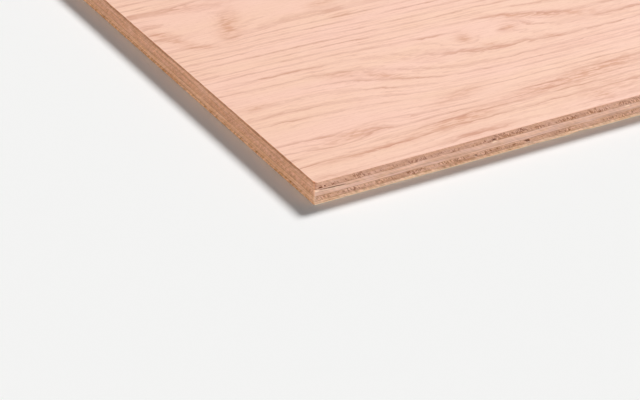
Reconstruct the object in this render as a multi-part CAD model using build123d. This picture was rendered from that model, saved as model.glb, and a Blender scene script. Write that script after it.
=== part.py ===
from build123d import *

import math
import os

# A sheet of hardwood-faced plywood, good face up. Five plies are glued together with their grain
# crossing: face, core and back run along the sheet, and the two crossbands run across it.
#
# Frame: millimetres, +X along the sheet, +Y across it, +Z up. The origin is on the floor, under the
# middle of the back. Places on the front edge, at -Y, are measured along it from the end at -X.

# Sheet, as it is sold
SHEET_LENGTH = 2438.4
SHEET_WIDTH = 1219.2

# Ply thicknesses
BACK_VENEER_THICKNESS = 2.8
LOWER_CROSSBAND_THICKNESS = 3.9
CORE_PLY_THICKNESS = 5.6
UPPER_CROSSBAND_THICKNESS = 5.2
FACE_VENEER_THICKNESS = 0.8

# Knot void: a piece of loose knot that the saw pulled out of the lower crossband
KNOT_VOID_ALONG = 181.8
KNOT_VOID_WIDTH = 3.6
KNOT_VOID_HEIGHT = 1.5
KNOT_VOID_DEPTH = 12.0
KNOT_VOID_BELOW_GLUE_LINE = 1.7

# Pin void: a smaller hole in the lower crossband
PIN_VOID_ALONG = 135.5
PIN_VOID_WIDTH = 1.6
PIN_VOID_HEIGHT = 1.0
PIN_VOID_DEPTH = 5.0
PIN_VOID_BELOW_GLUE_LINE = 2.0

# Torn void: fibre that the saw lifted out of the upper crossband
TORN_VOID_ALONG = 151.5
TORN_VOID_WIDTH = 4.4
TORN_VOID_HEIGHT = 1.2
TORN_VOID_DEPTH = 6.0
TORN_VOID_ABOVE_GLUE_LINE = 1.3

# Corner split: the core ply has opened along its grain, and the split dips away from the corner
SPLIT_START_ALONG = 3.6
SPLIT_LENGTH = 22.0
SPLIT_OPENING = 0.45
SPLIT_DEPTH = 5.0
SPLIT_START_BELOW_GLUE_LINE = 0.8
SPLIT_END_BELOW_GLUE_LINE = 1.9

# Voids and split narrow, as they run in, to this share of their mouth
INNER_SHARE = 0.35

# Chips that the saw broke out of the back's front arris
NICK_ALONG = 26.5
NICK_LENGTH = 3.6
NICK_DEPTH = 0.6
FLAKE_ALONG = 189.0
FLAKE_LENGTH = 18.0
FLAKE_DEPTH = 0.5
SCALLOP_ALONG = 231.0
SCALLOP_LENGTH = 24.0
SCALLOP_DEPTH = 0.8

# A cutter starts this far outside the edge, so that it leaves no skin behind
CUTTER_OVERRUN = 0.5

# Levels of the glue lines above the floor
LOWER_CROSSBAND_BOTTOM = BACK_VENEER_THICKNESS
CORE_PLY_BOTTOM = LOWER_CROSSBAND_BOTTOM + LOWER_CROSSBAND_THICKNESS
UPPER_CROSSBAND_BOTTOM = CORE_PLY_BOTTOM + CORE_PLY_THICKNESS
FACE_VENEER_BOTTOM = UPPER_CROSSBAND_BOTTOM + UPPER_CROSSBAND_THICKNESS

END_X = -SHEET_LENGTH / 2
FRONT_EDGE_Y = -SHEET_WIDTH / 2


def ply(bottom, thickness):
    """A veneer of the sheet's full length and width, lying on the glue line at this level."""
    outline = Plane.XY.offset(bottom) * Rectangle(SHEET_LENGTH, SHEET_WIDTH)
    return extrude(outline, thickness)


def narrowing_cutter(opening, along, level, depth, dip=0.0):
    """Cuts an opening into the front edge, narrowing inwards. Dip turns it, down towards +X."""
    # This plane looks into the sheet, so its own +Y points down
    mouth = Plane(origin=(END_X + along, FRONT_EDGE_Y, level), x_dir=(1, 0, 0), z_dir=(0, 1, 0))
    mouth = mouth.rotated((0, 0, dip))
    inner_end = mouth.offset(depth) * scale(opening, INNER_SHARE)
    overrun = extrude(mouth.offset(-CUTTER_OVERRUN) * opening, CUTTER_OVERRUN)
    return overrun + loft([(mouth * opening).face(), inner_end.face()])


def void_cutter(along, level, width, height, depth):
    """An oval hole that runs in along the grain of a crossband."""
    return narrowing_cutter(Ellipse(width / 2, height / 2), along, level, depth)


def split_cutter():
    """A thin gap that is widest at the middle of its length and closes to a point at both ends."""
    half_length = SPLIT_LENGTH / 2
    half_opening = SPLIT_OPENING / 2
    upper_lip = ThreePointArc((-half_length, 0), (0, -half_opening), (half_length, 0))
    lower_lip = ThreePointArc((half_length, 0), (0, half_opening), (-half_length, 0))
    middle_drop = (SPLIT_START_BELOW_GLUE_LINE + SPLIT_END_BELOW_GLUE_LINE) / 2
    dip = math.atan2(SPLIT_END_BELOW_GLUE_LINE - SPLIT_START_BELOW_GLUE_LINE, SPLIT_LENGTH)
    return narrowing_cutter(
        make_face(upper_lip + lower_lip),
        SPLIT_START_ALONG + half_length,
        UPPER_CROSSBAND_BOTTOM - middle_drop,
        SPLIT_DEPTH,
        math.degrees(dip),
    )


def chip_cutter(along, length, depth):
    """A ball that bites the back's front arris to this depth, over this length of it."""
    radius = length**2 / (8 * depth) + depth / 2
    outside = (radius - depth) / math.sqrt(2)
    return Pos(END_X + along, FRONT_EDGE_Y - outside, -outside) * Sphere(radius)


def face_veneer():
    """Thin decorative face, grain along the sheet."""
    return ply(FACE_VENEER_BOTTOM, FACE_VENEER_THICKNESS)


def upper_crossband():
    """Thick ply under the face, grain across the sheet, with the torn void in its sawn ends."""
    torn_void = void_cutter(
        TORN_VOID_ALONG,
        UPPER_CROSSBAND_BOTTOM + TORN_VOID_ABOVE_GLUE_LINE,
        TORN_VOID_WIDTH,
        TORN_VOID_HEIGHT,
        TORN_VOID_DEPTH,
    )
    return ply(UPPER_CROSSBAND_BOTTOM, UPPER_CROSSBAND_THICKNESS) - torn_void


def core_ply():
    """Middle ply, grain along the sheet, split at the corner."""
    return ply(CORE_PLY_BOTTOM, CORE_PLY_THICKNESS) - split_cutter()


def lower_crossband():
    """Ply under the core, grain across the sheet, with two voids in its sawn ends."""
    knot_void = void_cutter(
        KNOT_VOID_ALONG,
        CORE_PLY_BOTTOM - KNOT_VOID_BELOW_GLUE_LINE,
        KNOT_VOID_WIDTH,
        KNOT_VOID_HEIGHT,
        KNOT_VOID_DEPTH,
    )
    pin_void = void_cutter(
        PIN_VOID_ALONG,
        CORE_PLY_BOTTOM - PIN_VOID_BELOW_GLUE_LINE,
        PIN_VOID_WIDTH,
        PIN_VOID_HEIGHT,
        PIN_VOID_DEPTH,
    )
    return ply(LOWER_CROSSBAND_BOTTOM, LOWER_CROSSBAND_THICKNESS) - knot_void - pin_void


def back_veneer():
    """Plain back, grain along the sheet, with its front arris chipped by the saw."""
    nick = chip_cutter(NICK_ALONG, NICK_LENGTH, NICK_DEPTH)
    flake = chip_cutter(FLAKE_ALONG, FLAKE_LENGTH, FLAKE_DEPTH)
    scallop = chip_cutter(SCALLOP_ALONG, SCALLOP_LENGTH, SCALLOP_DEPTH)
    return ply(0, BACK_VENEER_THICKNESS) - nick - flake - scallop


os.makedirs("parts", exist_ok=True)
export_step(face_veneer(), "parts/face_veneer.step")
export_step(upper_crossband(), "parts/upper_crossband.step")
export_step(core_ply(), "parts/core_ply.step")
export_step(lower_crossband(), "parts/lower_crossband.step")
export_step(back_veneer(), "parts/back_veneer.step")
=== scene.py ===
import math

import bmesh
import bpy
from mathutils import Matrix, Vector, noise


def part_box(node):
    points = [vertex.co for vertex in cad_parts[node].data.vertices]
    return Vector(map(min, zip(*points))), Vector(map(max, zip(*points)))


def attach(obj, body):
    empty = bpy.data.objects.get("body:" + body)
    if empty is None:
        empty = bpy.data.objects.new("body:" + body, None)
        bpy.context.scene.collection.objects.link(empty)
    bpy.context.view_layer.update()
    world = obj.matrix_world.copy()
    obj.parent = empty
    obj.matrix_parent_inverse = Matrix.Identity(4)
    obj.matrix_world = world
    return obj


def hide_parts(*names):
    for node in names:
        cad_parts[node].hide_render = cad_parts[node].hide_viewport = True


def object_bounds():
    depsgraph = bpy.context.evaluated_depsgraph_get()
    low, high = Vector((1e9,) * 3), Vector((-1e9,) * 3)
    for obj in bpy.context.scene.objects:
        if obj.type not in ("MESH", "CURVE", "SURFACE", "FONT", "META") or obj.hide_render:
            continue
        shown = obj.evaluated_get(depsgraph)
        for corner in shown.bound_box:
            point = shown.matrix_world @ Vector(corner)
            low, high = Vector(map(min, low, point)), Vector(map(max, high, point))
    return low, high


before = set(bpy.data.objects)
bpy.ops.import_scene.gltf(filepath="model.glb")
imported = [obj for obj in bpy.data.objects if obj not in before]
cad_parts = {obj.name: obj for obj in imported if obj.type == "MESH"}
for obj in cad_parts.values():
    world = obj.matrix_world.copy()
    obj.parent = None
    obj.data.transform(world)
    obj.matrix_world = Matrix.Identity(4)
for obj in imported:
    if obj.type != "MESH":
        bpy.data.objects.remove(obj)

cad_low, cad_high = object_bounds()

# Back veneer
# The plain underside: one ply of softwood, peeled from the log on a lathe, grain along the sheet.
# The blade that squared the sheet left its edges fine-sawn and broke chips out of the front arris.

MM = 0.001
# Places that are nearer to each other than this are one place
SAME_PLACE = 0.01 * MM
# The sheet's two directions, as axes of a vector
ALONG, ACROSS = 0, 1

# The walls' mesh is finest in this run from the near corner
FINE_RUN = Vector((330 * MM, 400 * MM, 0))
FINE_STEP = Vector((0.5 * MM, 0.8 * MM, 0))
COARSE_STEP = 3 * MM
# Bands round a ply's flat sides, from its edge inwards: two for the arris, then a rim
ARRIS_BANDS = (0.5 * MM, 0.9 * MM)
ARRIS_REACH = sum(ARRIS_BANDS)
BAND_SLACK = 0.1 * MM
RIM = 4 * MM

# Glue lines are counted from the underside, and the first and last are the sheet's flat sides
UNDERSIDE = 0
FACE_TOP = 5
GLUE_LINE_LONG_WAVE = 38 * MM
GLUE_LINE_SHORT_WAVE = 9 * MM

SAW_WANDER = 0.07 * MM
SAW_WANDER_LENGTH = 70 * MM
END_GRAIN_RELIEF = 0.07 * MM
LONG_GRAIN_RELIEF = 0.03 * MM
TUFT_SIZE = 0.9 * MM
SAWN_WALL_DEPTH = 0.3 * MM

ARRIS_HEIGHT = 0.5 * MM
ARRIS_WEAR = 0.08 * MM
ARRIS_UNEVENNESS = 0.6
END_ARRIS_PALENESS = 0.15
CORNER_RADIUS = 1.8 * MM
# A round corner lies this share of its radius inside each wall
CORNER_CUT = 0.3
CORNER_PALENESS = 0.3
# The corners are paler up to here, from rubbed wear and a painted highlight
PALE_CORNER_UP_TO = (11 * MM, 12.5 * MM)

# Chips out of the front arris: along it, length and depth
BACK_CHIPS = (
    (26.5 * MM, 3.6 * MM, 0.6 * MM),
    (189 * MM, 18 * MM, 0.5 * MM),
    (231 * MM, 24 * MM, 0.8 * MM),
)
CHIP_RAGGEDNESS = 0.09 * MM
CHIP_TEAR_SIZE = 1.3 * MM
# Splinters off the front wall: along it, level, half length and half height
BACK_SPLINTERS = ((179.6 * MM, 0.7 * MM, 1.6 * MM, 0.7 * MM),)

SMOOTH_BELOW = math.radians(50)


def smooth_step(value, start, end):
    """Rises smoothly from 0 at start to 1 at end."""
    share = min(max((value - start) / (end - start), 0), 1)
    return share * share * (3 - 2 * share)


def is_along(edge, axis):
    """True for an edge that runs along one of the sheet's own directions."""
    run = edge.verts[1].co - edge.verts[0].co
    return abs(run[axis]) > 0.99 * run.length


def divide(bm, edges, step):
    """Divides edges of one length, and the strip of faces between them, into columns or rows."""
    cuts = round(edges[0].calc_length() / step) - 1
    bmesh.ops.subdivide_edges(bm, edges=edges, cuts=cuts, use_grid_fill=True)


def ply_blank(node, rows):
    """A ply's closed slab. Its sawn walls are divided into rows and into columns, finest beside the
    near corner, and narrow bands run round its two flat sides for the arrises."""
    low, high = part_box(node)
    bm = bmesh.new()
    place = Matrix.Translation((low + high) / 2) @ Matrix.Diagonal((*(high - low), 1))
    bmesh.ops.create_cube(bm, size=1, matrix=place)
    flats = [f for f in bm.faces if abs(f.normal.z) > 0.5]
    for band in (*ARRIS_BANDS, RIM):
        bmesh.ops.inset_individual(bm, faces=flats, thickness=band, use_even_offset=True)
    for axis in (ALONG, ACROSS):
        cut_at = low.copy()
        cut_at[axis] += FINE_RUN[axis]
        cut_normal = Vector((axis == ALONG, axis == ACROSS, 0))
        everything = bm.verts[:] + bm.edges[:] + bm.faces[:]
        bmesh.ops.bisect_plane(bm, geom=everything, plane_co=cut_at, plane_no=cut_normal)
    reach = ARRIS_REACH + BAND_SLACK
    for axis in (ALONG, ACROSS):
        across = 1 - axis
        fine_end = low[axis] + FINE_RUN[axis] + MM
        for wall in (low[across], high[across]):
            by_wall = [e for e in bm.edges if is_along(e, axis)]
            by_wall = [e for e in by_wall if abs(e.verts[0].co[across] - wall) < reach]
            near = [e for e in by_wall if max(v.co[axis] for v in e.verts) < fine_end]
            far = [e for e in by_wall if e not in near]
            divide(bm, near, FINE_STEP[axis] if wall == low[across] else COARSE_STEP)
            divide(bm, far, COARSE_STEP)
    uprights = [e for e in bm.edges if is_along(e, 2)]
    divide(bm, uprights, (high.z - low.z) / rows)
    height = bm.verts.layers.float.new("height")
    bm.verts.layers.float.new("shaded_hollow")
    for v in bm.verts:
        v[height] = (v.co.z - low.z) / (high.z - low.z)
    return bm


def glue_line_wave(place, line, swing):
    """How far a glue line runs off its level here, from the veneers' own uneven thickness. Each
    line reads the noise at its own level."""
    flat = Vector((place.x, place.y, 0))
    long_wave = noise.noise(flat / GLUE_LINE_LONG_WAVE + Vector((0, 0, 7.3 * line)))
    short_wave = noise.noise(flat / GLUE_LINE_SHORT_WAVE + Vector((0, 0, 3.1 * line)))
    return swing * (0.75 * long_wave + 0.35 * short_wave)


def saw(bm, lines, swings, grain_axis):
    """Gives a blank's walls the wander and torn fibre of a sawn edge, moves its borders along their
    wavy glue lines, and wears its arrises. Two layers say how far a vertex is paler, from rubbed
    wear and a painted highlight, and whether it lies on the sawn ends of the fibres."""
    height = bm.verts.layers.float["height"]
    wear_and_highlight = bm.verts.layers.float.new("wear_and_highlight")
    end = bm.verts.layers.float.new("end")
    for v in bm.verts:
        place = v.co.copy()
        off_wall = [min(place[a] - cad_low[a], cad_high[a] - place[a]) for a in (ALONG, ACROSS)]
        inset = min(off_wall)
        v[end] = 1 if off_wall[grain_axis] < SAME_PLACE else 0
        if inset > ARRIS_REACH - SAME_PLACE:
            continue
        fade = 1 - inset / ARRIS_REACH
        bottom = glue_line_wave(place, lines[0], swings[0])
        top = glue_line_wave(place, lines[1], swings[1])
        v.co.z += fade * (bottom + (top - bottom) * v[height])
        # Wear and a painted highlight: long sides paler at the bottom, ends at the top
        on_long_side = off_wall[ACROSS] < off_wall[ALONG]
        if v.co.z > cad_high.z - ARRIS_HEIGHT:
            v[wear_and_highlight] = 0 if on_long_side else fade
        elif v.co.z < ARRIS_HEIGHT:
            v[wear_and_highlight] = fade if on_long_side else END_ARRIS_PALENESS * fade
        corner_wear = max(1 - max(off_wall) / CORNER_RADIUS, 0)
        below_pale_top = 1 - smooth_step(v.co.z, *PALE_CORNER_UP_TO)
        v[wear_and_highlight] = max(v[wear_and_highlight], CORNER_PALENESS * corner_wear * below_pale_top)
        wander = noise.noise(Vector((place.x, place.y, 0)) / SAW_WANDER_LENGTH)
        tuft = noise.noise(place / TUFT_SIZE)
        for axis in (ALONG, ACROSS):
            if off_wall[axis] > SAME_PLACE:
                continue
            relief = END_GRAIN_RELIEF if axis == grain_axis else LONG_GRAIN_RELIEF
            cut = SAW_WANDER * (0.5 + 0.5 * wander) + relief * (0.5 + 0.5 * tuft)
            cut += CORNER_CUT * CORNER_RADIUS * corner_wear**2
            v.co[axis] += cut if place[axis] < 0 else -cut
        if inset < SAME_PLACE:
            wear = ARRIS_WEAR * (1 + ARRIS_UNEVENNESS * tuft)
            if lines[1] == FACE_TOP and v[height] > 0.99:
                v.co.z -= wear
            if lines[0] == UNDERSIDE and v[height] < 0.01:
                v.co.z += wear


def chip_arris(bm, along, length, depth):
    """Pushes the front arris of the back in, as far as a ball that bites it to this depth would."""
    radius = length**2 / (8 * depth) + depth / 2
    outside = (radius - depth) / math.sqrt(2)
    centre = Vector((cad_low.x + along, cad_low.y - outside, -outside))
    for v in bm.verts:
        out = v.co - centre
        if out.length > radius + CHIP_RAGGEDNESS:
            continue
        ragged = CHIP_RAGGEDNESS * noise.noise(v.co / CHIP_TEAR_SIZE)
        if out.length < radius + ragged:
            v.co = centre + out.normalized() * (radius + ragged)


def finish_piece(bm, name, finish):
    """Makes a piece of the sheet from its mesh, with smooth shading over the walls, and crisp
    arrises and flat sides."""
    mesh = bpy.data.meshes.new(name)
    for face in bm.faces:
        face.smooth = abs(face.normal.z) < 0.9
    bm.to_mesh(mesh)
    bm.free()
    mesh.set_sharp_from_angle(angle=SMOOTH_BELOW)
    mesh.materials.append(finish)
    piece = bpy.data.objects.new(name, mesh)
    bpy.context.scene.collection.objects.link(piece)
    return piece


def linear(colour):
    """An sRGB hex colour as linear RGBA."""
    channels = [int(colour[i : i + 2], 16) / 255 for i in (1, 3, 5)]
    return (*(c / 12.92 if c <= 0.04045 else ((c + 0.055) / 1.055) ** 2.4 for c in channels), 1)


def add(nodes, kind, inputs=(), **settings):
    """Adds a shader node with its settings. Inputs, by name or in order, are values or the outputs
    that they link to. Returns the node's first output."""
    node = nodes.new("ShaderNode" + kind)
    for name, value in settings.items():
        setattr(node, name, value)
    sockets = [s for s in node.inputs if s.enabled]
    named = inputs if isinstance(inputs, dict) else dict(enumerate(inputs))
    for key, value in named.items():
        socket = sockets[key] if isinstance(key, int) else next(s for s in sockets if s.name == key)
        if isinstance(value, bpy.types.NodeSocket):
            nodes.id_data.links.new(value, socket)
        else:
            socket.default_value = value
    return next((o for o in node.outputs if o.enabled), None)


def cells(*sizes):
    """A pattern's scale, from the size in mm of its cells along each axis. It doesn't change along
    an axis whose size is 0."""
    return tuple(1 / (size * MM) if size else 0 for size in sizes)


def sawn_veneer(
    name,
    grain_axis,
    thickness,
    long_side,
    sawn_ends,
    pale_wear_and_highlight,
    marks_depth,
    loose_side,
    checks,
    dark_top=0,
):
    """Peeled fir veneer, hot-pressed and sawn, left bare: matt, with streaks along its grain that
    turn to specks on the sawn ends. Its long sides and its sawn ends have a pale and a dark colour
    each, and their own depth of saw marks. Lathe checks open on the ends, most at the loose side's
    share of the ply's height. The long sides may be darker towards their top."""
    material = bpy.data.materials.new(name)
    material.use_nodes = True
    nodes = material.node_tree.nodes
    nodes.clear()
    place = add(nodes, "TexCoord").node.outputs["Object"]
    height = add(nodes, "Attribute", attribute_name="height").node.outputs["Fac"]
    wear_and_highlight = add(nodes, "Attribute", attribute_name="wear_and_highlight").node.outputs["Fac"]
    shaded_hollow = add(nodes, "Attribute", attribute_name="shaded_hollow").node.outputs["Fac"]
    end = add(nodes, "Attribute", attribute_name="end").node.outputs["Fac"]
    x, y, z = add(nodes, "SeparateXYZ", (place,)).node.outputs

    # Fibre bundles are about 0.7 mm across and run on for 45 mm
    fibre_size = [0.7, 0.7, 0.6]
    fibre_size[grain_axis] = 45
    fibre_place = add(nodes, "Mapping", {"Vector": place, "Scale": cells(*fibre_size)})
    fibre = add(
        nodes, "TexNoise", {"Vector": fibre_place, "Scale": 1, "Detail": 3, "Roughness": 0.6}
    )
    # Growth rings lie almost flat in a peeled veneer, so they cross its edge as long shallow bands
    ring_size = [40, 40, 1.5]
    ring_size[grain_axis] = 150
    ring_place = add(nodes, "Mapping", {"Vector": place, "Scale": cells(*ring_size)})
    ring = add(nodes, "TexNoise", {"Vector": ring_place, "Scale": 1, "Detail": 2})
    # The log's colour changes over a finger's width
    blotch_place = add(nodes, "Mapping", {"Vector": place, "Scale": cells(22, 22, 4)})
    blotch = add(nodes, "TexNoise", {"Vector": blotch_place, "Scale": 1, "Detail": 3})
    tone = add(nodes, "Math", (fibre, 1.9, -1.9), operation="MULTIPLY_ADD")
    tone = add(nodes, "Math", (ring, 1.6, tone), operation="MULTIPLY_ADD")
    tone = add(nodes, "Math", (blotch, 1.3, tone), operation="MULTIPLY_ADD", use_clamp=True)
    long_wood = add(nodes, "Mix", (tone, *map(linear, long_side)), data_type="RGBA")
    end_wood = add(nodes, "Mix", (tone, *map(linear, sawn_ends)), data_type="RGBA")
    wood = add(nodes, "Mix", (end, long_wood, end_wood), data_type="RGBA")
    # Some of it is richer in colour and some greyer
    hue_place = add(nodes, "Mapping", {"Vector": place, "Scale": cells(16, 16, 3)})
    hue = add(nodes, "TexNoise", {"Vector": hue_place, "Scale": 1, "Detail": 2})
    hue = add(nodes, "MapRange", (hue, 0.38, 0.62, 0, 1))
    wood = add(
        nodes, "Mix", (hue, wood, linear("#FFFBF0")), data_type="RGBA", blend_type="MULTIPLY"
    )

    # The saw's teeth tore the fibre along slanting lines, 1.7 mm apart and about 7 mm long. They
    # lie on the wall as on paper, unrolled round the sheet's corners.
    run = add(nodes, "Math", (x, y), operation="ADD")
    on_wall = add(nodes, "CombineXYZ", (run, z, 0.0))
    marks_place = add(
        nodes,
        "Mapping",
        {"Vector": on_wall, "Rotation": (0, 0, math.radians(-35)), "Scale": (7 * MM, 1.7 * MM, 1)},
        vector_type="TEXTURE",
    )
    marks = add(
        nodes, "TexNoise", {"Vector": marks_place, "Scale": 1, "Detail": 3, "Roughness": 0.6}
    )
    marks = add(nodes, "Math", (marks, 0.5), operation="SUBTRACT")
    depth = add(nodes, "Mix", (end, *marks_depth))
    marks = add(nodes, "Math", (marks, depth), operation="MULTIPLY")
    # The darker top band comes and goes along the edge
    darker_top = add(
        nodes, "MapRange", (height, 0.66, 0.82, 0, 1), interpolation_type="SMOOTHSTEP"
    )
    darker_top_part = add(nodes, "MapRange", (blotch, 0.35, 0.65, 0.5 * dark_top, dark_top))
    darker_top = add(nodes, "Math", (darker_top, darker_top_part), operation="MULTIPLY")
    off_end = add(nodes, "Math", (1.0, end), operation="SUBTRACT")
    darker_top = add(nodes, "Math", (darker_top, off_end), operation="MULTIPLY")
    wood = add(nodes, "Mix", (darker_top, wood, linear("#A97350")), data_type="RGBA")

    # Lathe checks: the knife bent the veneer as it came off the log, and cracked its loose side in
    # short slanting lines. Real ones are 0.1 mm wide, too fine to show, so they are drawn as
    # painted shade in cells of 3.2 by 1.1 mm.
    check_place = add(
        nodes,
        "Mapping",
        {
            "Vector": on_wall,
            "Rotation": (0, 0, math.radians(-52)),
            "Scale": (3.2 * MM, 1.1 * MM, 1),
        },
        vector_type="TEXTURE",
    )
    check = add(
        nodes, "TexNoise", {"Vector": check_place, "Scale": 1, "Detail": 1, "Roughness": 0.4}
    )
    # They come in groups. Location only picks another stretch of the noise.
    group_place = add(
        nodes, "Mapping", {"Vector": on_wall, "Location": (4, 0, 0), "Scale": cells(15, 12, 0)}
    )
    group = add(nodes, "TexNoise", {"Vector": group_place, "Scale": 1, "Detail": 2})
    off_loose = add(nodes, "Math", (height, loose_side), operation="SUBTRACT")
    off_loose = add(nodes, "Math", (off_loose,), operation="ABSOLUTE")
    on_loose = add(nodes, "MapRange", (off_loose, 0.1, 0.8, -0.22, -0.46))
    torn_part = add(nodes, "Math", (group, 1.4, on_loose), operation="MULTIPLY_ADD")
    torn_part = add(nodes, "Math", (torn_part, 0.58), operation="MINIMUM")
    open_part = add(nodes, "Math", (torn_part, check), operation="ADD")
    lifted_part = add(nodes, "Math", (torn_part, check), operation="SUBTRACT")
    check = add(
        nodes, "MapRange", (open_part, 0.97, 1.13, 0, checks), interpolation_type="SMOOTHSTEP"
    )
    check = add(nodes, "Math", (check, end), operation="MULTIPLY")
    # The fibre between the checks stands out and catches the light
    lifted = add(
        nodes, "MapRange", (lifted_part, 0.02, 0.18, 0, checks), interpolation_type="SMOOTHSTEP"
    )
    lifted = add(nodes, "Math", (lifted, end), operation="MULTIPLY")
    # Torn fibre catches light and loses it, but keeps its hue
    torn = add(nodes, "Math", (check, -0.76, marks), operation="MULTIPLY_ADD")
    torn = add(nodes, "Math", (lifted, 0.3, torn), operation="MULTIPLY_ADD")
    torn_light = add(nodes, "VectorMath", (linear("#E6C6B3")[:3], torn), operation="SCALE")
    wood = add(nodes, "VectorMath", (wood, torn_light), operation="ADD")

    # The ply is browner for 0.5 mm at its top and bottom, where glue has soaked in, here more and
    # there less. The back's underside gets the same.
    below_top = add(nodes, "Math", (1.0, height), operation="SUBTRACT")
    from_glue = add(nodes, "Math", (height, below_top), operation="MINIMUM")
    soaked = 0.5 * MM / thickness
    glue = add(
        nodes, "MapRange", (from_glue, 0.0, soaked, 1, 0), interpolation_type="SMOOTHSTEP"
    )
    soak_place = add(nodes, "Mapping", {"Vector": place, "Scale": cells(9, 9, 3)})
    soak = add(nodes, "TexNoise", {"Vector": soak_place, "Scale": 1, "Detail": 3})
    soak = add(nodes, "MapRange", (soak, 0.38, 0.62, 0.2, 0.7))
    glue = add(nodes, "Math", (glue, soak), operation="MULTIPLY")
    wood = add(nodes, "Mix", (glue, wood, linear("#A87455")), data_type="RGBA")
    # Its arrises are paler, from wear and a painted highlight; its voids are dark brown painted
    # shade
    wood = add(nodes, "Mix", (wear_and_highlight, wood, linear(pale_wear_and_highlight)), data_type="RGBA")
    wood = add(nodes, "Mix", (shaded_hollow, wood, linear("#8C3F10")), data_type="RGBA")

    relief = add(nodes, "Math", (check, -1.6, fibre), operation="MULTIPLY_ADD")
    relief = add(nodes, "Math", (marks, 0.5, relief), operation="MULTIPLY_ADD")
    bump = add(nodes, "Bump", {"Height": relief, "Strength": 0.25, "Distance": 0.18 * MM})
    shader = add(
        nodes,
        "BsdfPrincipled",
        {
            "Base Color": wood,
            "Roughness": 0.75,
            "IOR": 1.5,
            "Specular IOR Level": 0.3,
            "Normal": bump,
        },
    )
    add(nodes, "OutputMaterial", {"Surface": shader})
    return material


def front_wall(bm):
    """The vertices of the sawn front wall, in the run where its mesh is finest."""
    wall = [v for v in bm.verts if v.co.y - cad_low.y < SAWN_WALL_DEPTH]
    return [v for v in wall if v.co.x < cad_low.x + FINE_RUN.x]


def bare_splinters(bm, splinters):
    """Marks the fresh pale wood where a splinter has come off the front wall."""
    wear_and_highlight = bm.verts.layers.float["wear_and_highlight"]
    for v in front_wall(bm):
        for along, level, half_length, half_height in splinters:
            run = (v.co.x - cad_low.x - along) / half_length
            rise = (v.co.z - level) / half_height
            v[wear_and_highlight] = max(v[wear_and_highlight], math.exp(-((run * run + rise * rise) ** 2)))


bm = ply_blank("back_veneer", rows=6)
saw(bm, lines=(UNDERSIDE, 1), swings=(0, 0.25 * MM), grain_axis=ALONG)
bare_splinters(bm, BACK_SPLINTERS)
for chip in BACK_CHIPS:
    chip_arris(bm, *chip)
back_finish = sawn_veneer(
    "peeled_fir_back",
    grain_axis=ALONG,
    thickness=2.8 * MM,
    long_side=("#FFDCC0", "#D3A285"),
    sawn_ends=("#FFC99F", "#DB9E73"),
    pale_wear_and_highlight="#FFE2C0",
    marks_depth=(1.5, 2.0),
    loose_side=0.5,
    checks=0.15,
)
back = finish_piece(bm, "back_veneer_sawn", back_finish)
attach(back, "root")
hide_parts("back_veneer")

# Lower crossband
# Softwood ply under the core, peeled like the back, but with its grain across the sheet, so that
# its end grain shows along the front edge. The saw pulled loose bits of knot and fibre out of it.

# Hollows in the front edge, in mm: along it, level, width, height and depth, and how far the
# hollow leans over for its height
LOWER_HOLLOWS = (
    (181.8, 5.0, 4.0, 1.8, 12, 0),
    (179.4, 5.6, 3.4, 0.8, 2.5, 0),
    (183.1, 4.5, 1.4, 1.8, 4, 0.8),
    (135.5, 4.7, 1.6, 1.0, 5, 0),
    (136.5, 4.3, 1.2, 1.5, 2.5, 0.8),
    (33.0, 5.0, 0.9, 1.3, 1.2, 0.7),
    (79.5, 4.9, 0.8, 1.2, 1.0, 0.8),
    (84.6, 5.3, 0.8, 1.1, 1.0, 0.8),
    (110.2, 4.6, 0.9, 1.2, 1.2, 0.7),
    (129.0, 5.0, 0.8, 1.2, 1.2, 0.8),
    (194.5, 4.7, 0.9, 1.2, 1.2, 0.7),
    (208.0, 5.1, 0.8, 1.1, 1.0, 0.8),
    (228.5, 4.9, 0.8, 1.2, 1.2, 0.7),
    (251.0, 4.6, 0.9, 1.2, 1.2, 0.8),
)
DEEPEST_HOLLOW = 12 * MM
# A hollow deeper than this also narrows inwards, and has torn pale fibre below it, with a
# painted highlight on it
DEEP_HOLLOW = 3 * MM
HOLLOW_NARROWING = 0.3
HOLLOW_TEAR_SIZE = 0.7 * MM
# The wall's mesh is made finer in and round the hollows
HOLLOW_MARGIN = Vector((1.2 * MM, 0, 0.7 * MM))
FINER_CUTS = 3


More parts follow.
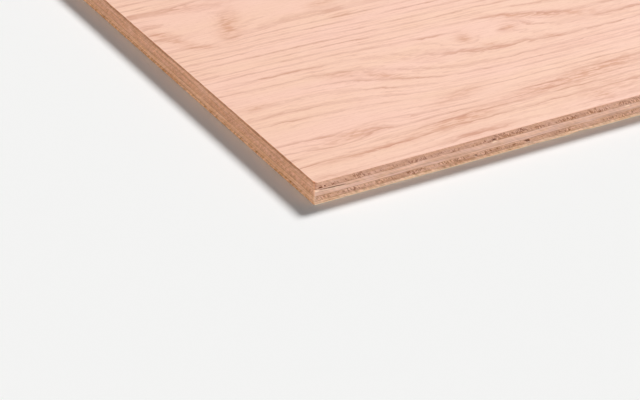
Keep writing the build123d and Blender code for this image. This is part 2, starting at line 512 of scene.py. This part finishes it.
def sink_hollows(bm, hollows):
    """Pushes the front wall in to oval holes with torn sides."""

    def near(v, along, level, width, height, lean):
        offset = v.co - Vector((cad_low.x + along, cad_low.y, level))
        reach_along = 0.5 * width + 0.5 * lean * height + HOLLOW_MARGIN.x
        reach_up = 0.5 * height + HOLLOW_MARGIN.z
        return abs(offset.x) < reach_along and abs(offset.z) < reach_up

    sizes = [(*(MM * size for size in shaded_hollow[:5]), shaded_hollow[5]) for shaded_hollow in hollows]
    wall = front_wall(bm)
    mouths = set()
    for along, level, width, height, _, lean in sizes:
        mouths.update(v for v in wall if near(v, along, level, width, height, lean))
    edges = [e for e in bm.edges if e.verts[0] in mouths and e.verts[1] in mouths]
    bmesh.ops.subdivide_edges(bm, edges=edges, cuts=FINER_CUTS, use_grid_fill=True)
    shaded_hollow = bm.verts.layers.float["shaded_hollow"]
    wear_and_highlight = bm.verts.layers.float["wear_and_highlight"]
    wall = front_wall(bm)
    for along, level, width, height, depth, lean in sizes:
        centre = Vector((cad_low.x + along, cad_low.y, level))
        for v in [v for v in wall if near(v, along, level, width, height, lean)]:
            across = (v.co.x - centre.x + lean * (v.co.z - centre.z)) / (0.5 * width)
            up = (v.co.z - centre.z) / (0.5 * height)
            torn = noise.noise(v.co / HOLLOW_TEAR_SIZE)
            share = 1 - smooth_step(math.hypot(across, up) * (1 + 0.25 * torn), 0.6, 1.15)
            # Painted shade: each hollow is painted darker, the deeper it is
            v[shaded_hollow] = max(v[shaded_hollow], share * (depth / DEEPEST_HOLLOW) ** 0.4)
            v.co.y += depth * share**1.6
            if depth > DEEP_HOLLOW:
                # Torn pale fibre below a deep hollow, with a painted highlight on it
                torn_lip = math.exp(-((across - 0.4) ** 2) / 0.7 - (up + 2) ** 2 / 0.6)
                v[wear_and_highlight] = max(v[wear_and_highlight], torn_lip)
                v.co.x += (centre.x - v.co.x) * HOLLOW_NARROWING * share
                v.co.z += (centre.z - v.co.z) * HOLLOW_NARROWING * share


bm = ply_blank("lower_crossband", rows=8)
saw(bm, lines=(1, 2), swings=(0.25 * MM, 0.3 * MM), grain_axis=ACROSS)
sink_hollows(bm, LOWER_HOLLOWS)
lower_finish = sawn_veneer(
    "peeled_fir_crossband",
    grain_axis=ACROSS,
    thickness=3.9 * MM,
    long_side=("#FFCBA6", "#E4AB86"),
    sawn_ends=("#E9BCA4", "#C4967E"),
    pale_wear_and_highlight="#FFE4CC",
    marks_depth=(0.75, 0.65),
    loose_side=0.55,
    checks=0.42,
)
lower = finish_piece(bm, "lower_crossband_sawn", lower_finish)
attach(lower, "root")
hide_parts("lower_crossband")

# Core ply
# The thick middle ply, peeled softwood with its grain along the sheet. It has split at the near
# corner, where it dried.

# Where the split starts and ends: along the front edge, and level
SPLIT_START = (3.6 * MM, 11.5 * MM)
SPLIT_END = (25.6 * MM, 10.4 * MM)
SPLIT_OPENING = 0.45 * MM
SPLIT_DEPTH = 5 * MM
SPLIT_WRIGGLE = 0.14 * MM
SPLIT_WRIGGLE_LENGTH = 2.5 * MM
# The strip of wall whose mesh is made finer for the split: past its tips, below it and above it
SPLIT_STRIP = (0.6 * MM, 0.9 * MM, 0.7 * MM)
# Its lower lip carries a painted highlight, this far below the line
SPLIT_LIP_DROP = 0.8 * MM
SPLIT_LIP_HALF_HEIGHT = 0.45 * MM
CORE_SPLINTERS = (
    (1.5 * MM, 10.7 * MM, 2.4 * MM, 0.6 * MM),
    (151.6 * MM, 11.6 * MM, 2.3 * MM, 0.7 * MM),
    (272.5 * MM, 11.3 * MM, 2.4 * MM, 0.5 * MM),
)


def open_split(bm):
    """Pushes the front wall in along a thin slanting line that closes to a point at both ends."""
    start = Vector((cad_low.x + SPLIT_START[0], 0, SPLIT_START[1]))
    end = Vector((cad_low.x + SPLIT_END[0], 0, SPLIT_END[1]))

    def split_strip():
        past, below, above = SPLIT_STRIP
        strip = [v for v in front_wall(bm) if start.x - past < v.co.x < end.x + past]
        return [v for v in strip if end.z - below < v.co.z < start.z + above]

    strip = set(split_strip())
    edges = [e for e in bm.edges if e.verts[0] in strip and e.verts[1] in strip]
    bmesh.ops.subdivide_edges(bm, edges=edges, cuts=FINER_CUTS, use_grid_fill=True)
    shaded_hollow = bm.verts.layers.float["shaded_hollow"]
    wear_and_highlight = bm.verts.layers.float["wear_and_highlight"]
    for v in split_strip():
        run = (v.co.x - start.x) / (end.x - start.x)
        if not 0 < run < 1:
            continue
        wriggle = SPLIT_WRIGGLE * noise.noise(Vector((v.co.x / SPLIT_WRIGGLE_LENGTH, 0, 0)))
        above_line = v.co.z - start.z - run * (end.z - start.z) - wriggle
        openness = math.sqrt(4 * run * (1 - run))
        half_opening = 0.5 * SPLIT_OPENING * openness
        closed_at = 1.6 * half_opening + 2 * SAME_PLACE
        share = 1 - smooth_step(abs(above_line), 0.9 * half_opening, closed_at)
        # Painted shade darkens the split's opening
        v[shaded_hollow] = 0.8 * share
        # A painted highlight lies along its lower lip
        off_lip = (above_line + SPLIT_LIP_DROP) / SPLIT_LIP_HALF_HEIGHT
        v[wear_and_highlight] = max(v[wear_and_highlight], 0.9 * openness * math.exp(-(off_lip**2)))
        v.co.y += SPLIT_DEPTH * share


bm = ply_blank("core_ply", rows=12)
saw(bm, lines=(2, 3), swings=(0.3 * MM, 0.3 * MM), grain_axis=ALONG)
open_split(bm)
bare_splinters(bm, CORE_SPLINTERS)
core_finish = sawn_veneer(
    "peeled_fir_core",
    grain_axis=ALONG,
    thickness=5.6 * MM,
    long_side=("#F5CBB8", "#CDA492"),
    sawn_ends=("#F2B99A", "#D69D7C"),
    pale_wear_and_highlight="#FFDDC2",
    marks_depth=(0.4, 0.7),
    loose_side=0.5,
    checks=0.15,
)
core = finish_piece(bm, "core_ply_sawn", core_finish)
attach(core, "root")
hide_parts("core_ply")

# Upper crossband
# Softwood ply under the face, grain across the sheet. Its loose side, full of lathe checks, is its
# lower one, and the saw lifted tufts of fibre out of its end grain.

# In the same way as the lower crossband's
UPPER_HOLLOWS = (
    (151.5, 13.6, 4.4, 1.2, 6, 0),
    (4.9, 13.2, 2.3, 1.0, 2.4, 0.3),
    (8.5, 13.5, 1.7, 1.0, 2.0, 0.5),
    (15.8, 13.4, 0.9, 1.2, 1.2, 0.8),
    (25.5, 14.1, 0.8, 1.4, 1.0, 0.8),
    (40.5, 13.7, 0.9, 1.4, 1.4, 0.8),
    (44.1, 13.5, 0.8, 1.2, 1.2, 0.9),
    (78.0, 14.0, 0.8, 1.5, 1.2, 0.8),
    (84.8, 13.6, 0.9, 1.4, 1.3, 0.8),
    (91.4, 13.9, 0.8, 1.4, 1.2, 0.7),
    (120.6, 13.6, 0.8, 1.3, 1.1, 0.8),
    (143.2, 14.0, 0.9, 1.5, 1.4, 0.8),
    (190.0, 14.3, 0.9, 1.6, 1.4, 0.9),
    (194.8, 13.7, 0.8, 1.4, 1.3, 0.8),
    (206.4, 13.6, 0.8, 1.2, 1.2, 0.8),
    (226.5, 13.5, 0.8, 1.1, 1.1, 0.8),
    (241.8, 13.5, 1.1, 1.1, 1.5, 0.6),
    (252.9, 13.6, 1.3, 1.2, 1.6, 0.6),
)

CORNER_BREAK_REACH = 3.5 * MM
CORNER_BREAK = 1.0 * MM
CORNER_BREAK_LEVELS = (12 * MM, 14 * MM)
CORNER_BREAK_TEAR_SIZE = 0.9 * MM


def break_corner(bm):
    """Pushes the near corner in, where a knock broke the face and the fibre under it away."""
    shaded_hollow = bm.verts.layers.float["shaded_hollow"]
    for v in bm.verts:
        away = math.hypot(v.co.x - cad_low.x, v.co.y - cad_low.y)
        if away < CORNER_BREAK_REACH:
            ragged = 1 + 0.5 * noise.noise(v.co / CORNER_BREAK_TEAR_SIZE)
            broken = ragged * (1 - away / CORNER_BREAK_REACH) ** 2
            broken *= smooth_step(v.co.z, *CORNER_BREAK_LEVELS)
            # Painted shade darkens the broken corner
            v[shaded_hollow] = 0.5 * broken
            v.co.x += CORNER_BREAK * broken
            v.co.y += CORNER_BREAK * broken


bm = ply_blank("upper_crossband", rows=10)
saw(bm, lines=(3, 4), swings=(0.3 * MM, 0.12 * MM), grain_axis=ACROSS)
sink_hollows(bm, UPPER_HOLLOWS)
break_corner(bm)
upper_finish = sawn_veneer(
    "peeled_fir_upper",
    grain_axis=ACROSS,
    thickness=5.2 * MM,
    long_side=("#F0B99A", "#CE9777"),
    sawn_ends=("#DBAD97", "#C1937E"),
    pale_wear_and_highlight="#E6BA9E",
    marks_depth=(0.75, 0.6),
    loose_side=0.25,
    checks=0.36,
    dark_top=0.85,
)
upper = finish_piece(bm, "upper_crossband_sawn", upper_finish)
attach(upper, "root")
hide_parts("upper_crossband")

# Face veneer
# The good face: red oak, sliced 0.8 mm thick, glued down with its grain along the sheet, and
# sanded. The slicer's knife cut through the tree's years, which cross the face as dark lines.

FIGURE_NEAR_STEP = 3 * MM
FIGURE_FAR_STEP = 16 * MM
# The figure's grid is made from the top's undivided edges, which are all longer than this
FIGURE_SHORTEST = 100 * MM

# The figure is drawn in mm from the near corner, along and across the sheet.
# Where each year's line crosses the left end, and the years' widths before and after those:
YEARS_ON_END = (
    *(3, 20, 33, 44, 56, 69, 88, 100, 116, 130, 144, 157, 168, 176, 184, 193, 202, 210, 218, 227),
    *(237, 304, 313, 323, 333),
)
EARLIER_YEAR = 14
LATER_YEAR = 9.5
# The wide year between these lines splits up, over this run of the sheet, into more narrow ones
WIDE_YEAR = (237, 304)
NARROW_YEARS = 5
NARROWING_RUN = (200, 900)
# The lines wander by up to 1 mm, and by up to 14 mm past the part that the photo shows
DRAWN_LENGTH = 420
DRAWN_BREADTH = 380
DRAWN_FADE = 160
DRAWN_WANDER = 1
FAR_WANDER = 14
WANDER_LENGTH = 190
WANDER_BREADTH = 52
# The lines come nearer the front edge past these places, by the last number:
# along and across, half the length and breadth of the fall, and its size
FALLS = (
    (135, 103, 88, 44, 45),
    (285, 150, 42, 28, 12),
    (150, 200, 80, 40, 5),
    (120, 22, 60, 26, -6),
)
# Swellings of the trunk, which the lines bend or close round:
# along and across, half length and breadth, tilt in degrees, and push
SWELLINGS = (
    (30, 236, 20, 8, -20, 8),
    (215, 141, 14, 7, 0, 6),
    (257, 144, 12, 6, 20, -6),
    (45, 43, 22, 9, 0, 9),
    (80, 52, 24, 7, 10, -7),
    (18, 22, 22, 12, 0, -2),
    (1180, 660, 430, 95, 1, 165),
    (2150, 330, 340, 70, -1, 110),
    (620, 1010, 380, 80, 0, -130),
    (1750, 980, 300, 60, 1, 90),
)
# A blunt swelling that the left end cuts: one line closes round its tip
BLUNT_SWELLING = (10, 262, 84, 30, -3)
BLUNT_PUSH = 50
# Plain patches, where the lines fade: along and across, half length and breadth, tilt, and strength
PLAIN_PATCHES = (
    (60, 68, 64, 9, 0, 1.0),
    (112, 266, 30, 20, -10, 1.0),
    (40, 131, 52, 8, 0, 0.8),
    (240, 157, 40, 7, -12, 0.7),
    (210, 76, 60, 7, 0, 0.6),
    (38, 262, 30, 20, 0, 1.0),
    (40, 287, 36, 8, -8, 0.8),
    (46, 226, 14, 7, 0, 0.7),
    (60, 9, 50, 6, 0, 0.7),
    (215, 8, 40, 8, 0, 0.7),
)
# Brown streaks, in the same way
BROWN_STREAKS = (
    (70, 22, 60, 4, 2, 0.7),
    (142, 31, 32, 8, 4, 1.0),
    (58, 47, 26, 7, 10, 0.8),
    (164, 65, 26, 6, 15, 0.7),
    (150, 8, 24, 6, 3, 0.6),
    (292, 53, 42, 9, 3, 1.0),
    (300, 96, 70, 14, 0, 0.3),
    (272, 22, 46, 16, 0, 0.5),
    (340, 134, 44, 16, -15, 0.4),
    (226, 43, 46, 8, 2, 0.8),
    (152, 255, 14, 4, 5, 0.8),
    (156, 228, 12, 3, 5, 0.8),
    (66, 251, 26, 9, 63, 1.0),
    (10, 262, 14, 4, -35, 1.0),
    (16, 246, 14, 4, -45, 0.8),
    (26, 229, 16, 4, -25, 0.8),
    (44, 292, 30, 4, -12, 0.2),
    (60, 296, 24, 4, -6, 0.6),
    (220, 143, 7, 8, -40, 0.9),
    (262, 144, 8, 6, 20, 1.0),
    (236, 124, 11, 3, -15, 0.8),
    (282, 117, 8, 3, -30, 0.9),
    (168, 130, 30, 3, -28, 0.4),
    (304, 151, 32, 5, -20, 0.9),
    (270, 165, 18, 4, -25, 0.7),
    (256, 14, 10, 5, -30, 0.7),
    (18, 118, 12, 3, 0, 0.9),
    (100, 134, 12, 5, -15, 0.7),
    (130, 118, 18, 6, -40, 0.8),
)


def lies_near(place, along, across, half_length, half_breadth, tilt, bluntness=1):
    """1 at the middle of an oval on the face, fading to nothing around it."""
    offset = Vector((place.x - along, place.y - across))
    turn = math.radians(tilt)
    lengthways = (offset.x * math.cos(turn) + offset.y * math.sin(turn)) / half_length
    sideways = (offset.y * math.cos(turn) - offset.x * math.sin(turn)) / half_breadth
    return math.exp(-((lengthways * lengthways + sideways * sideways) ** bluntness))


def growth_year(place):
    """Which year's wood the knife cut at this place, in mm from the near corner: a whole number
    where one year ends and the next begins."""
    level = place.y
    for along, across, half_length, half_breadth, fall in FALLS:
        past = 0.5 + 0.5 * math.tanh(1.6 * (place.x - along) / half_length)
        level += fall * past * math.exp(-(((place.y - across) / half_breadth) ** 2))
    for *oval, push in SWELLINGS:
        level += push * lies_near(place, *oval)
    level += BLUNT_PUSH * lies_near(place, *BLUNT_SWELLING, bluntness=2)
    far = smooth_step(max(place.x - DRAWN_LENGTH, place.y - DRAWN_BREADTH), 0, DRAWN_FADE)
    wander = DRAWN_WANDER + (FAR_WANDER - DRAWN_WANDER) * far
    level += wander * noise.noise(Vector((place.x / WANDER_LENGTH, place.y / WANDER_BREADTH, 4.2)))
    split_up = smooth_step(place.x, *NARROWING_RUN)
    narrow_years = NARROW_YEARS * split_up * smooth_step(level, *WIDE_YEAR)
    years = YEARS_ON_END
    if level < years[0]:
        return (level - years[0]) / EARLIER_YEAR
    if level >= years[-1]:
        return len(years) - 1 + (level - years[-1]) / LATER_YEAR + narrow_years
    year = next(i for i in range(len(years) - 1) if level < years[i + 1])
    return year + (level - years[year]) / (years[year + 1] - years[year]) + narrow_years


def divide_face(bm):
    """Divides the top into a grid that carries the figure, finest beside the near corner."""
    top = cad_high.z - SAME_PLACE
    inside_arris = ARRIS_REACH + 0.5 * RIM
    for axis in (ALONG, ACROSS):
        across = 1 - axis
        first = cad_low[across] + inside_arris
        last = cad_high[across] - inside_arris
        lines = [e for e in bm.edges if is_along(e, axis) and e.verts[0].co.z > top]
        lines = [e for e in lines if first < e.verts[0].co[across] < last]
        lines = [e for e in lines if e.calc_length() > FIGURE_SHORTEST]
        fine_end = cad_low[axis] + FINE_RUN[axis] + MM
        near = [e for e in lines if max(v.co[axis] for v in e.verts) < fine_end]
        far = [e for e in lines if e not in near]
        divide(bm, near, FIGURE_NEAR_STEP)
        divide(bm, far, FIGURE_FAR_STEP)
    # Edges across the strip inside the arris tie the grid to the walls' finer columns
    top_verts = [v for v in bm.verts if v.co.z > top]
    for axis in (ALONG, ACROSS):
        across = 1 - axis
        for wall, inward in ((cad_low[across], 1), (cad_high[across], -1)):
            insets = [(v, inward * (v.co[across] - wall)) for v in top_verts]
            outer_side = [v for v, inset in insets if abs(inset - ARRIS_REACH) < SAME_PLACE]
            inner_side = [v for v, inset in insets if abs(inset - ARRIS_REACH - RIM) < SAME_PLACE]
            for v in inner_side:
                opposite = min(outer_side, key=lambda w: abs(w.co[axis] - v.co[axis]))
                strip = next((f for f in v.link_faces if opposite in f.verts[:]), None)
                tied = any(opposite in e.verts for e in v.link_edges)
                if strip and not tied:
                    bmesh.utils.face_split(strip, v, opposite)


def draw_figure(bm):
    """Writes the year, the brown streaks and the plain patches at each vertex, for the finish to
    read."""
    year_layer = bm.verts.layers.float.new("year")
    brown_layer = bm.verts.layers.float.new("brown")
    plain_layer = bm.verts.layers.float.new("plain")
    for v in bm.verts:
        place = (v.co - Vector((cad_low.x, cad_low.y, 0))) / MM
        v[year_layer] = growth_year(place)
        v[brown_layer] = min(sum(s * lies_near(place, *oval) for *oval, s in BROWN_STREAKS), 1)
        v[plain_layer] = min(sum(s * lies_near(place, *oval) for *oval, s in PLAIN_PATCHES), 1)


def sanded_oak():
    """Sliced red oak, sanded and bare: matt and smooth, pink to straw in soft clouds. Each year's
    band of open pores is a thin brown line, with single pores as short dashes between."""
    material = bpy.data.materials.new("sanded_red_oak")
    material.use_nodes = True
    nodes = material.node_tree.nodes
    nodes.clear()
    place = add(nodes, "TexCoord").node.outputs["Object"]
    year = add(nodes, "Attribute", attribute_name="year").node.outputs["Fac"]
    brown = add(nodes, "Attribute", attribute_name="brown").node.outputs["Fac"]
    plain = add(nodes, "Attribute", attribute_name="plain").node.outputs["Fac"]
    wear_and_highlight = add(nodes, "Attribute", attribute_name="wear_and_highlight").node.outputs["Fac"]
    end = add(nodes, "Attribute", attribute_name="end").node.outputs["Fac"]

    # The lines run true to a mm or two, and zigzag most where the knife ran flat along a year
    drift_place = add(nodes, "Mapping", {"Vector": place, "Scale": cells(45, 11, 0)})
    drift = add(nodes, "TexNoise", {"Vector": drift_place, "Scale": 1, "Detail": 1})
    zigzag_place = add(nodes, "Mapping", {"Vector": place, "Scale": cells(14, 3.2, 0)})
    zigzag = add(nodes, "TexNoise", {"Vector": zigzag_place, "Scale": 1, "Detail": 2})
    uneven = add(nodes, "Math", (year, 0.33), operation="SUBTRACT")
    uneven = add(nodes, "Math", (drift, 0.36, uneven), operation="MULTIPLY_ADD")
    uneven = add(nodes, "Math", (zigzag, 0.42, uneven), operation="MULTIPLY_ADD")

    # Each line starts sharply with the year's first pores, and fades into its later wood
    since = add(nodes, "Math", (uneven,), operation="FRACT")
    start = add(nodes, "MapRange", (since, 0.0, 0.06, 0, 1), interpolation_type="SMOOTHSTEP")
    fade = add(nodes, "MapRange", (since, 0.08, 0.28, 1, 0), interpolation_type="SMOOTHSTEP")
    line = add(nodes, "Math", (start, fade), operation="MULTIPLY")
    # Its strength comes and goes over about 50 mm, each year for itself
    whole = add(nodes, "Math", (uneven,), operation="FLOOR")
    along = add(nodes, "SeparateXYZ", (place,)).node.outputs["X"]
    along = add(nodes, "Math", (along, 1 / (48 * MM)), operation="MULTIPLY")
    own_row = add(nodes, "Math", (whole, 3.7), operation="MULTIPLY")
    strength_place = add(nodes, "CombineXYZ", (along, own_row, 0.0))
    strength = add(nodes, "TexNoise", {"Vector": strength_place, "Scale": 1, "Detail": 2})
    strength = add(nodes, "MapRange", (strength, 0.34, 0.64, 0.15, 1))
    strength = add(nodes, "Math", (brown, 0.45, strength), operation="MULTIPLY_ADD")
    line = add(nodes, "Math", (line, strength), operation="MULTIPLY")

    # Between them run fainter lines, from dry spells: three to a year, about 4 mm apart
    spells = add(nodes, "Math", (uneven, 3.0, 0.4), operation="MULTIPLY_ADD")
    since_spell = add(nodes, "Math", (spells,), operation="FRACT")
    start = add(nodes, "MapRange", (since_spell, 0.0, 0.15, 0, 1), interpolation_type="SMOOTHSTEP")
    fade = add(nodes, "MapRange", (since_spell, 0.15, 0.6, 1, 0), interpolation_type="SMOOTHSTEP")
    spell = add(nodes, "Math", (start, fade), operation="MULTIPLY")
    spell_part_place = add(nodes, "Mapping", {"Vector": place, "Scale": cells(40, 9, 0)})
    spell_part = add(nodes, "TexNoise", {"Vector": spell_part_place, "Scale": 1, "Detail": 2})
    spell_part = add(nodes, "MapRange", (spell_part, 0.4, 0.62, 0.04, 0.45))
    spell = add(nodes, "Math", (spell, spell_part), operation="MULTIPLY")
    line = add(nodes, "Math", (line, spell), operation="ADD")
    clear = add(nodes, "Math", (1.0, plain), operation="SUBTRACT")
    line = add(nodes, "Math", (line, clear), operation="MULTIPLY")

    # Pores are 0.3 mm wide and cut open over 5 mm, drawn at twice that width to show
    pore_place = add(nodes, "Mapping", {"Vector": place, "Scale": cells(5, 0.6, 0)})
    pore = add(nodes, "TexNoise", {"Vector": pore_place, "Scale": 1, "Detail": 1})
    pore = add(nodes, "MapRange", (pore, 0.56, 0.74, 0, 1), interpolation_type="SMOOTHSTEP")
    fibre_place = add(nodes, "Mapping", {"Vector": place, "Scale": cells(26, 1.5, 0)})
    fibre = add(nodes, "TexNoise", {"Vector": fibre_place, "Scale": 1, "Detail": 3})

    cloud_place = add(nodes, "Mapping", {"Vector": place, "Scale": cells(130, 38, 0)})
    cloud = add(nodes, "TexNoise", {"Vector": cloud_place, "Scale": 1, "Detail": 2})
    cloud = add(nodes, "MapRange", (cloud, 0.35, 0.65, 0, 1))
    wood = add(nodes, "Mix", (cloud, linear("#FBCDB9"), linear("#F9CDB3")), data_type="RGBA")
    fibre_tone = add(nodes, "MapRange", (fibre, 0.3, 0.7, 0, 0.4))
    wood = add(nodes, "Mix", (fibre_tone, wood, linear("#EBB59C")), data_type="RGBA")
    # The brown streaks are bundles of short strokes, 2 mm apart, where pores were cut at a slant
    stroke_place = add(nodes, "Mapping", {"Vector": place, "Scale": cells(12, 2.2, 0)})
    stroke = add(nodes, "TexNoise", {"Vector": stroke_place, "Scale": 1, "Detail": 2})
    stroke = add(nodes, "MapRange", (stroke, 0.4, 0.6, 0.3, 1.0), interpolation_type="SMOOTHSTEP")
    brown_tone = add(nodes, "Math", (brown, stroke), operation="MULTIPLY")
    wood = add(nodes, "Mix", (brown_tone, wood, linear("#D79A7A")), data_type="RGBA")
    pore_tone = add(nodes, "Math", (pore, 0.25), operation="MULTIPLY")
    wood = add(nodes, "Mix", (pore_tone, wood, linear("#C98C70")), data_type="RGBA")
    line_tone = add(nodes, "Math", (line, 0.78), operation="MULTIPLY", use_clamp=True)
    wood = add(nodes, "Mix", (line_tone, wood, linear("#CB8D71")), data_type="RGBA")
    # The arrises are paler, from wear and a painted highlight
    pale_wear_and_highlight = add(nodes, "Math", (wear_and_highlight, 0.6), operation="MULTIPLY")
    wood = add(nodes, "Mix", (pale_wear_and_highlight, wood, linear("#FCDCC8")), data_type="RGBA")
    # The sawn ends of the fibres drink the light, here more and there less
    dry = add(nodes, "MapRange", (drift, 0.4, 0.6, 0, 1))
    end_shade = add(nodes, "Mix", (dry, linear("#CB9C7E"), linear("#F2CCB0")), data_type="RGBA")
    wood = add(nodes, "Mix", (end, wood, end_shade), data_type="RGBA", blend_type="MULTIPLY")

    relief = add(nodes, "Math", (pore, -0.6, fibre), operation="MULTIPLY_ADD")
    bump = add(nodes, "Bump", {"Height": relief, "Strength": 0.15, "Distance": 0.1 * MM})
    shader = add(
        nodes,
        "BsdfPrincipled",
        {
            "Base Color": wood,
            "Roughness": 0.6,
            "IOR": 1.5,
            "Specular IOR Level": 0.35,
            "Normal": bump,
        },
    )
    add(nodes, "OutputMaterial", {"Surface": shader})
    return material


bm = ply_blank("face_veneer", rows=3)
divide_face(bm)
saw(bm, lines=(4, FACE_TOP), swings=(0.12 * MM, 0), grain_axis=ALONG)
draw_figure(bm)
break_corner(bm)
face = finish_piece(bm, "face_veneer_sanded", sanded_oak())
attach(face, "root")
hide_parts("face_veneer")

# Floor
# A plain pale studio floor. It keeps the sheet's shadow.

FLOOR_HALF_SIZE = 40

floor_bm = bmesh.new()
bmesh.ops.create_grid(floor_bm, x_segments=1, y_segments=1, size=FLOOR_HALF_SIZE)
floor_mesh = bpy.data.meshes.new("floor")
floor_bm.to_mesh(floor_mesh)
floor_bm.free()
floor_paint = bpy.data.materials.new("white_studio_floor")
floor_paint.use_nodes = True
floor_nodes = floor_paint.node_tree.nodes
floor_nodes.clear()
floor_shader = add(floor_nodes, "BsdfDiffuse", {"Color": linear("#FBFBFA")})
add(floor_nodes, "OutputMaterial", {"Surface": floor_shader})
floor_mesh.materials.append(floor_paint)
floor = bpy.data.objects.new("floor", floor_mesh)
bpy.context.scene.collection.objects.link(floor)

# Light
# A soft key from behind and to the right, which leaves the two near edges to a broad low fill from
# in front and to the light that the floor throws back. The room lights it only a little, but looks
# white to the camera and in reflections.

KEY_DIRECTION = Vector((0.98, 0.60, 1.0))
KEY_STRENGTH = 3.47
KEY_ANGLE = math.radians(15)
FILL_DIRECTION = Vector((-0.50, -0.86, 0.08))
FILL_STRENGTH = 2.1
FILL_ANGLE = math.radians(20)
ROOM_LEVEL = 0.15

for lamp_name, direction, strength, angle in (
    ("key", KEY_DIRECTION, KEY_STRENGTH, KEY_ANGLE),
    ("fill", FILL_DIRECTION, FILL_STRENGTH, FILL_ANGLE),
):
    lamp_data = bpy.data.lights.new(lamp_name, "SUN")
    lamp_data.energy = strength
    lamp_data.angle = angle
    lamp = bpy.data.objects.new(lamp_name, lamp_data)
    lamp.rotation_euler = direction.to_track_quat("Z", "Y").to_euler()
    bpy.context.scene.collection.objects.link(lamp)

room = bpy.data.worlds.new("room")
room.use_nodes = True
room_nodes = room.node_tree.nodes
room_nodes.clear()
rays = add(room_nodes, "LightPath").node.outputs
seen = add(room_nodes, "Math", (rays["Is Camera Ray"], rays["Is Glossy Ray"]), operation="MAXIMUM")
seen = add(room_nodes, "Math", (seen, rays["Is Transmission Ray"]), operation="MAXIMUM")
room_strength = add(room_nodes, "Mix", (seen, ROOM_LEVEL, 1.0))
room_shader = add(room_nodes, "Background", {"Color": (1, 1, 1, 1), "Strength": room_strength})
add(room_nodes, "OutputWorld", {"Surface": room_shader})
bpy.context.scene.world = room
bpy.context.scene.view_settings.view_transform = "Standard"

# Camera
# It looks down over the near corner, as the photo does, with a long lens.

VIEW_AZIMUTH = math.radians(-30.67)
VIEW_ELEVATION = math.radians(30.13)
VIEW_ROLL = math.radians(1.13)
CAMERA_PLACE = Vector((-1.8771, -1.7267, 0.7569))
CAMERA_LENS = 120.54
CAMERA_SEES_TO = 200

back_axis = Vector(
    (
        math.sin(VIEW_AZIMUTH) * math.cos(VIEW_ELEVATION),
        -math.cos(VIEW_AZIMUTH) * math.cos(VIEW_ELEVATION),
        math.sin(VIEW_ELEVATION),
    )
)
level_right = Vector((math.cos(VIEW_AZIMUTH), math.sin(VIEW_AZIMUTH), 0))
level_up = back_axis.cross(level_right)
right_axis = level_right * math.cos(VIEW_ROLL) + level_up * math.sin(VIEW_ROLL)
up_axis = back_axis.cross(right_axis)
camera_data = bpy.data.cameras.new("camera")
camera_data.lens = CAMERA_LENS
camera_data.clip_end = CAMERA_SEES_TO
camera = bpy.data.objects.new("camera", camera_data)
turn = Matrix((right_axis, up_axis, back_axis)).transposed()
camera.matrix_world = Matrix.Translation(CAMERA_PLACE) @ turn.to_4x4()
bpy.context.scene.collection.objects.link(camera)
bpy.context.scene.camera = camera
